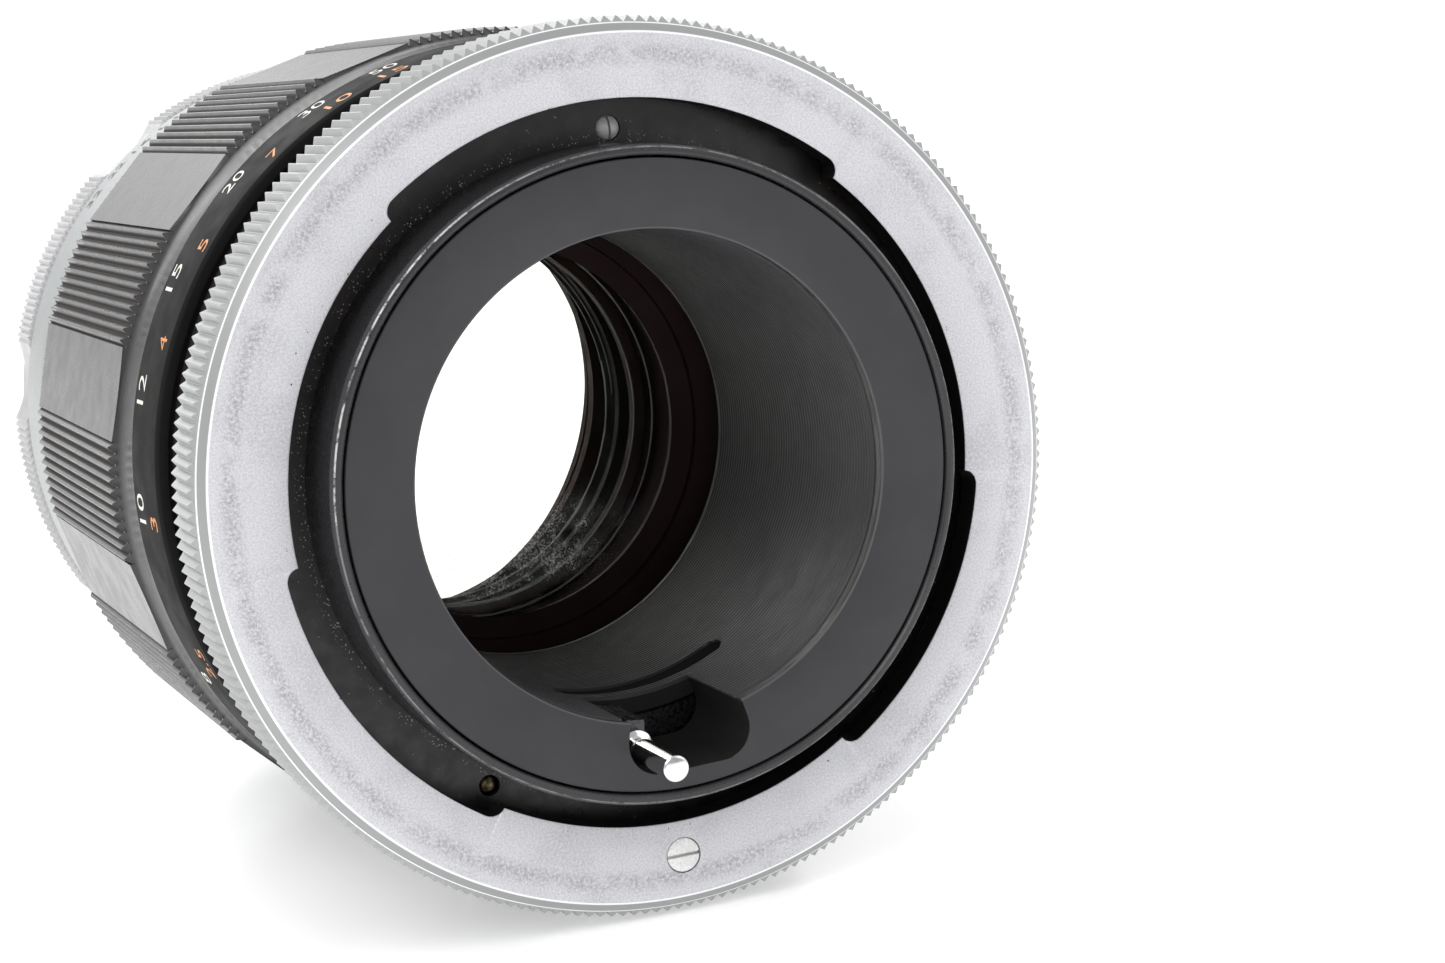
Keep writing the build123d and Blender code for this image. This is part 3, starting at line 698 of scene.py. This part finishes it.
def brass_pin():
    """Round-ended locating pin, standing a little below the flange in its hole."""
    profile = [(NEAR_AXIS, 4.25), (0.22, 4.28), (0.42, 4.4), (0.55, 4.6), (0.6, 4.8), (0.6, 7.9)]
    profile += [(NEAR_AXIS, 7.9)]
    pin = turned_part("locating_pin_rounded", profile, *LOCATING_PIN)
    finished(pin, BRASS, "lens_mount", ["locating_pin"])


def lever_pin():
    """Polished pin with a chamfered tip, a narrow groove and a collar at its root."""
    profile = [
        (NEAR_AXIS, -8.0), (0.80, -8.0), (0.87, -7.97), (0.95, -7.88), (0.95, -1.3), (0.84, -1.24),
        (0.84, -1.06), (0.95, -1.0), (0.95, 0.05), (1.18, 0.14), (1.29, 0.2), (1.32, 0.3), (1.32, 0.8),
        (NEAR_AXIS, 0.8),
    ]
    pin = turned_part("lever_pin_turned", profile, *LEVER_PIN)
    finished(pin, POLISHED, "lever_unit", ["aperture_lever_pin"])


def slot_outline():
    """Outline of the lever's slot: open to the bore, with round outer corners."""
    start, end = LEVER_SLOT
    inner = BORE_RADIUS - 2.0
    start_corner = []
    end_corner = []
    for step in range(SLOT_CORNER_STEPS + 1):
        turn = math.radians(90 * step / SLOT_CORNER_STEPS)
        radius = SLOT_OUTER_RADIUS - SLOT_CORNER_RADIUS * (1 - math.sin(turn))
        inset = SLOT_CORNER_SPAN * (1 - math.cos(turn))
        start_corner.append((radius, start + inset))
        end_corner.insert(0, (radius, end - inset))
    return [(inner, start)] + start_corner + end_corner + [(inner, end)]


def slit_cutter():
    """Cutter of the slit in the bore: a long arc with round ends, lofted along its angles."""
    start, end = LEVER_SLIT
    low, high = SLIT_LEVELS
    end_radius = (high - low) / 2
    middle = (low + high) / 2
    vertices = []
    for step in range(SLIT_STEPS + 1):
        angle = between(start, end, (1 - math.cos(math.pi * step / SLIT_STEPS)) / 2)
        from_end = math.radians(min(angle - start, end - angle)) * BORE_RADIUS
        into_end = max(0.0, 1 - from_end / end_radius)
        half = max(0.03, end_radius * math.sqrt(max(0.0, 1 - into_end ** 2)))
        section = [(BORE_RADIUS - 1.0, middle - half), (BORE_RADIUS - 1.0, middle + half)]
        section += [(19.6, middle + half), (19.6, middle - half)]
        vertices += [point(radius, angle, y) for radius, y in section]
    last_row = 4 * SLIT_STEPS
    faces = [(0, 1, 2, 3), tuple(range(last_row + 3, last_row - 1, -1))]
    for step in range(SLIT_STEPS):
        for corner in range(4):
            following = (corner + 1) % 4
            this_row, next_row = 4 * step, 4 * (step + 1)
            faces.append((this_row + corner, next_row + corner, next_row + following, this_row + following))
    return new_object("slit_cutter", vertices, faces)


def rear_plate():
    """Rear plate and bore tube; the bore is cut with a fine anti-reflection thread."""
    bore = []
    root_radius = BORE_RADIUS + THREAD_DEPTH
    for step in range(int(THREAD_LENGTH / THREAD_PITCH)):
        crest_y = THREAD_START_Y - step * THREAD_PITCH
        bore += [(BORE_RADIUS, crest_y), (BORE_RADIUS, crest_y - 0.12), (root_radius, crest_y - 0.31)]
    profile = [(BORE_RADIUS, 30.0)] + bore
    profile += [(BORE_RADIUS, -2.2), (BORE_RADIUS, -2.86), (BORE_RADIUS + 0.06, -2.95)]
    profile += [(BORE_RADIUS + 0.2, PLATE_FACE_Y), (22.7, PLATE_FACE_Y), (22.82, -2.97), (22.88, -2.88)]
    profile += [(22.88, 8.0), (19.3, 8.0), (19.3, 30.0)]
    plate = lathe("rear_plate_threaded", profile, 256)
    cut(plate, prism("slot_cutter", slot_outline(), PLATE_FACE_Y - 1.0, SLOT_END_Y))
    cut(plate, slit_cutter())
    finished(plate, FACE_BLACK, "lens_mount", ["rear_baffle"])


def throat():
    profile = [
        (23.03, -2.9), (23.12, -3.08), (23.28, -3.19), (23.5, -3.2), (23.64, -3.14), (23.8, -2.86),
        (23.88, -2.66), (23.9, -2.5), (23.9, 4.15), (23.45, 4.2), (23.45, 9.0), (23.05, 9.0),
    ]
    finished(lathe("throat_lip", profile, 288), LIP, "lens_mount", ["throat_tube"])


def depth_ring():
    edge = DEPTH_RING_RADIUS - 0.2
    profile = [(28.6, 7.6), (edge, 7.6), (DEPTH_RING_RADIUS, 7.9), (DEPTH_RING_RADIUS, 18.2), (28.6, 18.2)]
    band = lathe("depth_scale_ring_turned", softened(profile, 0.1))
    finished(band, SCALE_BLACK, "lens_mount", ["depth_scale_ring"])


# Focusing ring ------------------------------------------------------------------------------------
def scale_ring():
    profile = [(30.75, SCALE_START_Y), (31.5, SCALE_START_Y), (SCALE_START_RADIUS, SCALE_START_Y + 0.25)]
    profile += [(SCALE_END_RADIUS - 0.02, SCALE_END_Y - 0.22), (SCALE_END_RADIUS - 0.1, SCALE_END_Y)]
    profile += [(30.75, SCALE_END_Y)]
    ring_piece = lathe("distance_scale_band", softened(profile, 0.08))
    finished(ring_piece, SCALE_BLACK, "focus_drive", ["focus_scale_ring"])


def grip_place(angle):
    """(share of rib depth, radius of the top) of the grip at an angle."""
    hill_pitch = 360.0 / GRIP_HILLS
    from_hill = (angle - GRIP_HILL_ANGLE + hill_pitch / 2) % hill_pitch - hill_pitch / 2
    half_hill = RIBS_PER_HILL * RIB_PITCH / 2
    if abs(from_hill) <= half_hill:
        depth = tooth_depth(from_hill, RIB_PITCH, -half_hill, 0.06)
        return depth, between(GRIP_RADIUS, GRIP_VALLEY_RADIUS, depth)
    from_flat = math.radians(hill_pitch / 2 - abs(from_hill))
    flat_top = min(GRIP_RADIUS - 0.12, GRIP_FLAT_RADIUS / math.cos(from_flat))
    return 1.0, flat_top


def grip_section(angle):
    """Cove, then ribs or a flat; a flat starts further forward where its top is higher."""
    depth, top = grip_place(angle)
    start_y = between(GRIP_START_Y, GRIP_START_Y - 0.72, depth)
    if depth == 1.0:
        start_y += FLAT_EDGE_SLOPE * (top - GRIP_FLAT_RADIUS)
    end_y = between(GRIP_END_Y - 0.9, GRIP_END_Y - 0.35, depth)
    return [
        (30.75, SCALE_END_Y), (32.05, SCALE_END_Y), (32.14, SCALE_END_Y + 0.14), (32.12, 26.4), (32.16, 27.4),
        (32.26, 28.3), (32.42, 28.95), (32.6, 29.24), (top, start_y), (top, end_y), (32.3, GRIP_END_Y - 0.02),
        (32.1, GRIP_END_Y), (31.0, GRIP_END_Y), (31.0, 53.0), (30.75, 53.0),
    ]


def grip_angles():
    angles = set()
    half_hill = RIBS_PER_HILL * RIB_PITCH / 2
    for hill in range(GRIP_HILLS):
        centre = GRIP_HILL_ANGLE + hill * 360.0 / GRIP_HILLS
        for rib in range(RIBS_PER_HILL):
            start = centre - half_hill + rib * RIB_PITCH
            angles.update(start + RIB_PITCH * place for place in (0.06, 0.44, 0.56, 0.94))
        angles.update((centre - half_hill + 0.02, centre + half_hill - 0.02))
        flat_start = centre + half_hill + 0.05
        flat_end = centre + 360.0 / GRIP_HILLS - half_hill - 0.05
        angles.update(np.linspace(flat_start, flat_end, 9))
    return sorted(set(round(angle % 360, 4) for angle in angles))


def focus_grip():
    grip = ring("focus_grip_ribbed", grip_section, grip_angles(), 22.0)
    finished(grip, GRIP_BLACK, "focus_drive", ["focus_grip"])


# Front end ----------------------------------------------------------------------------------------
def diaphragm_section(angle):
    depth = tooth_depth(angle, 360.0 / STOP_DOWN_TEETH)
    outer = between(STOP_DOWN_RADIUS, STOP_DOWN_VALLEY_RADIUS, depth)
    return [
        (29.2, 56.0), (30.4, 56.0), (30.4, 65.2), (31.8, 65.2), (outer, 65.45), (outer, 66.55), (31.8, 66.8),
        (29.2, 66.8),
    ]


def aperture_section(angle):
    pitch = 360.0 / SCALLOP_COUNT
    from_scallop = (angle - SCALLOP_PHASE) % pitch - pitch / 2
    reach = SCALLOP_CENTRE * math.sin(math.radians(abs(from_scallop)))
    depth = tooth_depth(angle, 360.0 / APERTURE_TEETH)
    outer = between(APERTURE_RADIUS, APERTURE_VALLEY_RADIUS, depth)
    if reach < SCALLOP_RADIUS:
        across = SCALLOP_CENTRE * math.cos(math.radians(from_scallop))
        outer = min(outer, across - math.sqrt(SCALLOP_RADIUS ** 2 - reach ** 2))
    return [
        (29.1, 80.2), (30.5, 80.2), (30.7, 80.3), (outer, 81.2), (outer, 87.5), (outer - 0.5, 88.3),
        (outer - 0.75, 88.4), (29.1, 88.4),
    ]


def front_rings():
    stop_down = ring("diaphragm_ring_knurled", diaphragm_section, tooth_angles(STOP_DOWN_TEETH), 22.0)
    finished(stop_down, GRIP_BLACK, "diaphragm_drive", ["diaphragm_ring"])
    scale = [(29.05, 67.1), (31.6, 67.1), (STOP_SCALE_START_RADIUS, STOP_SCALE_START_Y)]
    scale += [(STOP_SCALE_END_RADIUS, STOP_SCALE_END_Y), (31.3, 79.9), (29.05, 79.9)]
    band = lathe("aperture_scale_turned", softened(scale, 0.15))
    finished(band, SATIN, "optical_block", ["aperture_scale_ring"])
    control = ring("aperture_ring_knurled", aperture_section, tooth_angles(APERTURE_TEETH), 22.0)
    finished(control, SILVER, "aperture_control", ["aperture_ring"])
    thread = []
    for step in range(4):
        root_y = 90.9 - step * 0.6
        thread += [(27.5, root_y), (27.5, root_y - 0.1), (27.75, root_y - 0.3)]
    rim = thread + [(27.5, 88.6), (30.0, 88.6), (30.2, 88.9), (30.2, 91.2), (30.05, 91.42), (29.9, 91.5)]
    rim += [(27.8, 91.5), (27.6, 91.35)]
    finished(lathe("filter_rim_threaded", rim), SILVER, "optical_block", ["filter_ring"])


# Marks --------------------------------------------------------------------------------------------
def wrapped(obj, angle, y, radius_at):
    """Wrap a flat piece round the axis: its x runs towards smaller angles and its y towards the front."""
    for vertex in obj.data.vertices:
        across, along, lift = vertex.co
        level = y + along
        radius = radius_at(level)
        vertex.co = point(radius + lift, angle - math.degrees(across / radius), level)
    return obj


def numeral(name, text, angle, y, radius_at, material, body, height=DIGIT_HEIGHT):
    """Raised enamel figures centred at an angle and y on a ring."""
    curve = bpy.data.curves.new("text", "FONT")
    curve.body = text
    curve.resolution_u = 5
    source = bpy.data.objects.new("text", curve)
    bpy.context.scene.collection.objects.link(source)
    bpy.context.view_layer.update()
    mesh = bpy.data.meshes.new_from_object(source.evaluated_get(bpy.context.evaluated_depsgraph_get()))
    bpy.data.objects.remove(source)
    obj = bpy.data.objects.new(name, mesh)
    bpy.context.scene.collection.objects.link(obj)
    corners = np.array([vertex.co for vertex in mesh.vertices])
    low, high = corners.min(0), corners.max(0)
    width = len(text.replace(".", "")) * DIGIT_WIDTH + 0.35 * text.count(".") - 0.12
    scale_x = width * height / DIGIT_HEIGHT / (high[0] - low[0])
    scale_y = height / (high[1] - low[1])
    for vertex in mesh.vertices:
        vertex.co.x = (vertex.co.x - (low[0] + high[0]) / 2) * scale_x
        vertex.co.y = (vertex.co.y - (low[1] + high[1]) / 2) * scale_y
        vertex.co.z = ENAMEL_LIFT
    finished(wrapped(obj, angle, y, radius_at), material, body)


def mark_line(name, angle, start_y, end_y, width, radius_at, material, body):
    """A thin enamel line along the axis."""
    across = width / 2
    along = (end_y - start_y) / 2
    corners = [(-across, -along), (across, -along), (across, along), (-across, along)]
    vertices = [(x, y, ENAMEL_LIFT) for x, y in corners] + [(x, y, -0.05) for x, y in corners]
    faces = [(0, 1, 2, 3), (7, 6, 5, 4), (0, 4, 5, 1), (1, 5, 6, 2), (2, 6, 7, 3), (3, 7, 4, 0)]
    line = new_object(name, vertices, faces)
    finished(wrapped(line, angle, (start_y + end_y) / 2, radius_at), material, body)


def scale_radius(y):
    share = (y - SCALE_START_Y) / (SCALE_END_Y - SCALE_START_Y)
    return between(SCALE_START_RADIUS, SCALE_END_RADIUS, share) + 0.003


def distance_angle(metres):
    """Place of a distance on the focusing ring: the turn falls off with the inverse of the distance."""
    return INDEX_ANGLE + DISTANCE_SPREAD / (metres - DISTANCE_OFFSET)


def distance_marks():
    for text in FEET_MARKS:
        angle = distance_angle(float(text) * FEET_TO_METRES)
        numeral(f"feet_{text}", text, angle, FEET_ROW_Y, scale_radius, WHITE_PAINT, "focus_drive")
    for text in METRE_MARKS:
        angle = distance_angle(float(text))
        numeral(f"metres_{text}", text, angle, METRE_ROW_Y, scale_radius, ORANGE_PAINT, "focus_drive")


def depth_radius(y):
    return DEPTH_RING_RADIUS + 0.005


def aperture_scale_radius(y):
    share = (y - STOP_SCALE_START_Y) / (STOP_SCALE_END_Y - STOP_SCALE_START_Y)
    return between(STOP_SCALE_START_RADIUS, STOP_SCALE_END_RADIUS, share) + 0.003


def aperture_ring_radius(y):
    return APERTURE_RADIUS


def fixed_marks():
    """Focus index and depth lines on the mount, the stops on their ring, and the aperture ring's index."""
    mark_line("focus_index", INDEX_ANGLE, *INDEX_LINE_Y, 0.35, depth_radius, WHITE_PAINT, "lens_mount")
    for step, text in enumerate(DEPTH_MARKS):
        for side in (-1, 1):
            angle = INDEX_ANGLE + side * (3.5 + 5.5 * step)
            mark = f"{text}_{side + 1}"
            mark_line(
                f"depth_line_{mark}", angle, *DEPTH_LINE_Y, 0.22, depth_radius, WHITE_PAINT, "lens_mount")
            numeral(f"depth_{mark}", text, angle, DEPTH_ROW_Y, depth_radius, WHITE_PAINT, "lens_mount", 1.6)
    for step, text in enumerate(APERTURE_MARKS):
        angle = TOP_ANGLE + step * CLICK_STEP
        numeral(
            f"stop_{text}", text, angle, STOP_ROW_Y, aperture_scale_radius, BLACK_PAINT, "optical_block", 1.7)
    mark_line(
        "aperture_index", TOP_ANGLE, *STOP_LINE_Y, 0.9, aperture_ring_radius, RED_PAINT, "aperture_control")


# Set, light and camera ----------------------------------------------------------------------------
def studio():
    bpy.ops.mesh.primitive_plane_add(size=6, location=(0, 1.0, FLOOR_Z * MM))
    floor = bpy.context.object
    floor.name = "floor"
    shader = Shader("white_acrylic")
    uneven = shader.noise(60.0, 2.0)
    floor.data.materials.append(shader.surface(
        Base_Color=shader.mix(uneven, (0.93, 0.93, 0.935), (0.96, 0.96, 0.96)),
        Roughness=shader.ramp(uneven, 0.3, 0.7, 0.16, 0.22),
        Normal=shader.bump(uneven, 0.01),
        Emission_Color=(1.0, 1.0, 1.0),
        Emission_Strength=0.4,
    ))
    world = bpy.data.worlds.new("soft_white")
    bpy.context.scene.world = world
    world.use_nodes = True
    tree = world.node_tree
    coordinate = tree.nodes.new("ShaderNodeTexCoord")
    parts = tree.nodes.new("ShaderNodeSeparateXYZ")
    tree.links.new(coordinate.outputs["Generated"], parts.inputs[0])
    toward_back = tree.nodes.new("ShaderNodeMapRange")
    toward_back.inputs["From Min"].default_value = -1.0
    toward_back.inputs["From Max"].default_value = 0.4
    toward_back.inputs["To Min"].default_value = 0.42
    toward_back.inputs["To Max"].default_value = 1.05
    tree.links.new(parts.outputs["Y"], toward_back.inputs["Value"])
    tree.links.new(toward_back.outputs[0], tree.nodes["Background"].inputs["Strength"])
    tree.nodes["Background"].inputs["Color"].default_value = (1, 1, 1, 1)
    soft_light("key", (-0.45, -0.35, 0.55), 0.5, 2.4)
    soft_light("fill", (0.5, -0.4, 0.35), 0.6, 1.0)
    soft_light("back", (-0.2, 0.7, 0.6), 0.8, 4.0)


def soft_light(name, place, size, power):
    data = bpy.data.lights.new(name, "AREA")
    data.size = size
    data.energy = power
    light = bpy.data.objects.new(name, data)
    light.location = place
    light.rotation_euler = (Vector((0, 0.03, 0)) - Vector(place)).to_track_quat("-Z", "Y").to_euler()
    bpy.context.scene.collection.objects.link(light)


def camera():
    data = bpy.data.cameras.new("camera")
    data.lens = FOCAL_LENGTH
    data.sensor_width = 36.0
    data.clip_start = 0.01
    data.clip_end = 20.0
    obj = bpy.data.objects.new("camera", data)
    bpy.context.scene.collection.objects.link(obj)
    turn = Matrix((CAMERA_RIGHT, CAMERA_UP, tuple(-value for value in CAMERA_FORWARD))).transposed()
    obj.matrix_world = Matrix.Translation(CAMERA_PLACE) @ turn.to_4x4()
    bpy.context.scene.camera = obj


dress_cad_nodes()
breech_ring()
slotted_head("breech_screw_head", STOP_SCREW, "breech_lock", ["breech_stop_screw"], 90.0, 0.0)
slotted_head("flange_screw_head", FLANGE_SCREW, "lens_mount", ["flange_screw"], 5.0, 0.45)
brass_pin()
lever_pin()
rear_plate()
throat()
depth_ring()
scale_ring()
focus_grip()
front_rings()
distance_marks()
fixed_marks()
studio()
camera()
bpy.context.scene.view_settings.view_transform = "Standard"
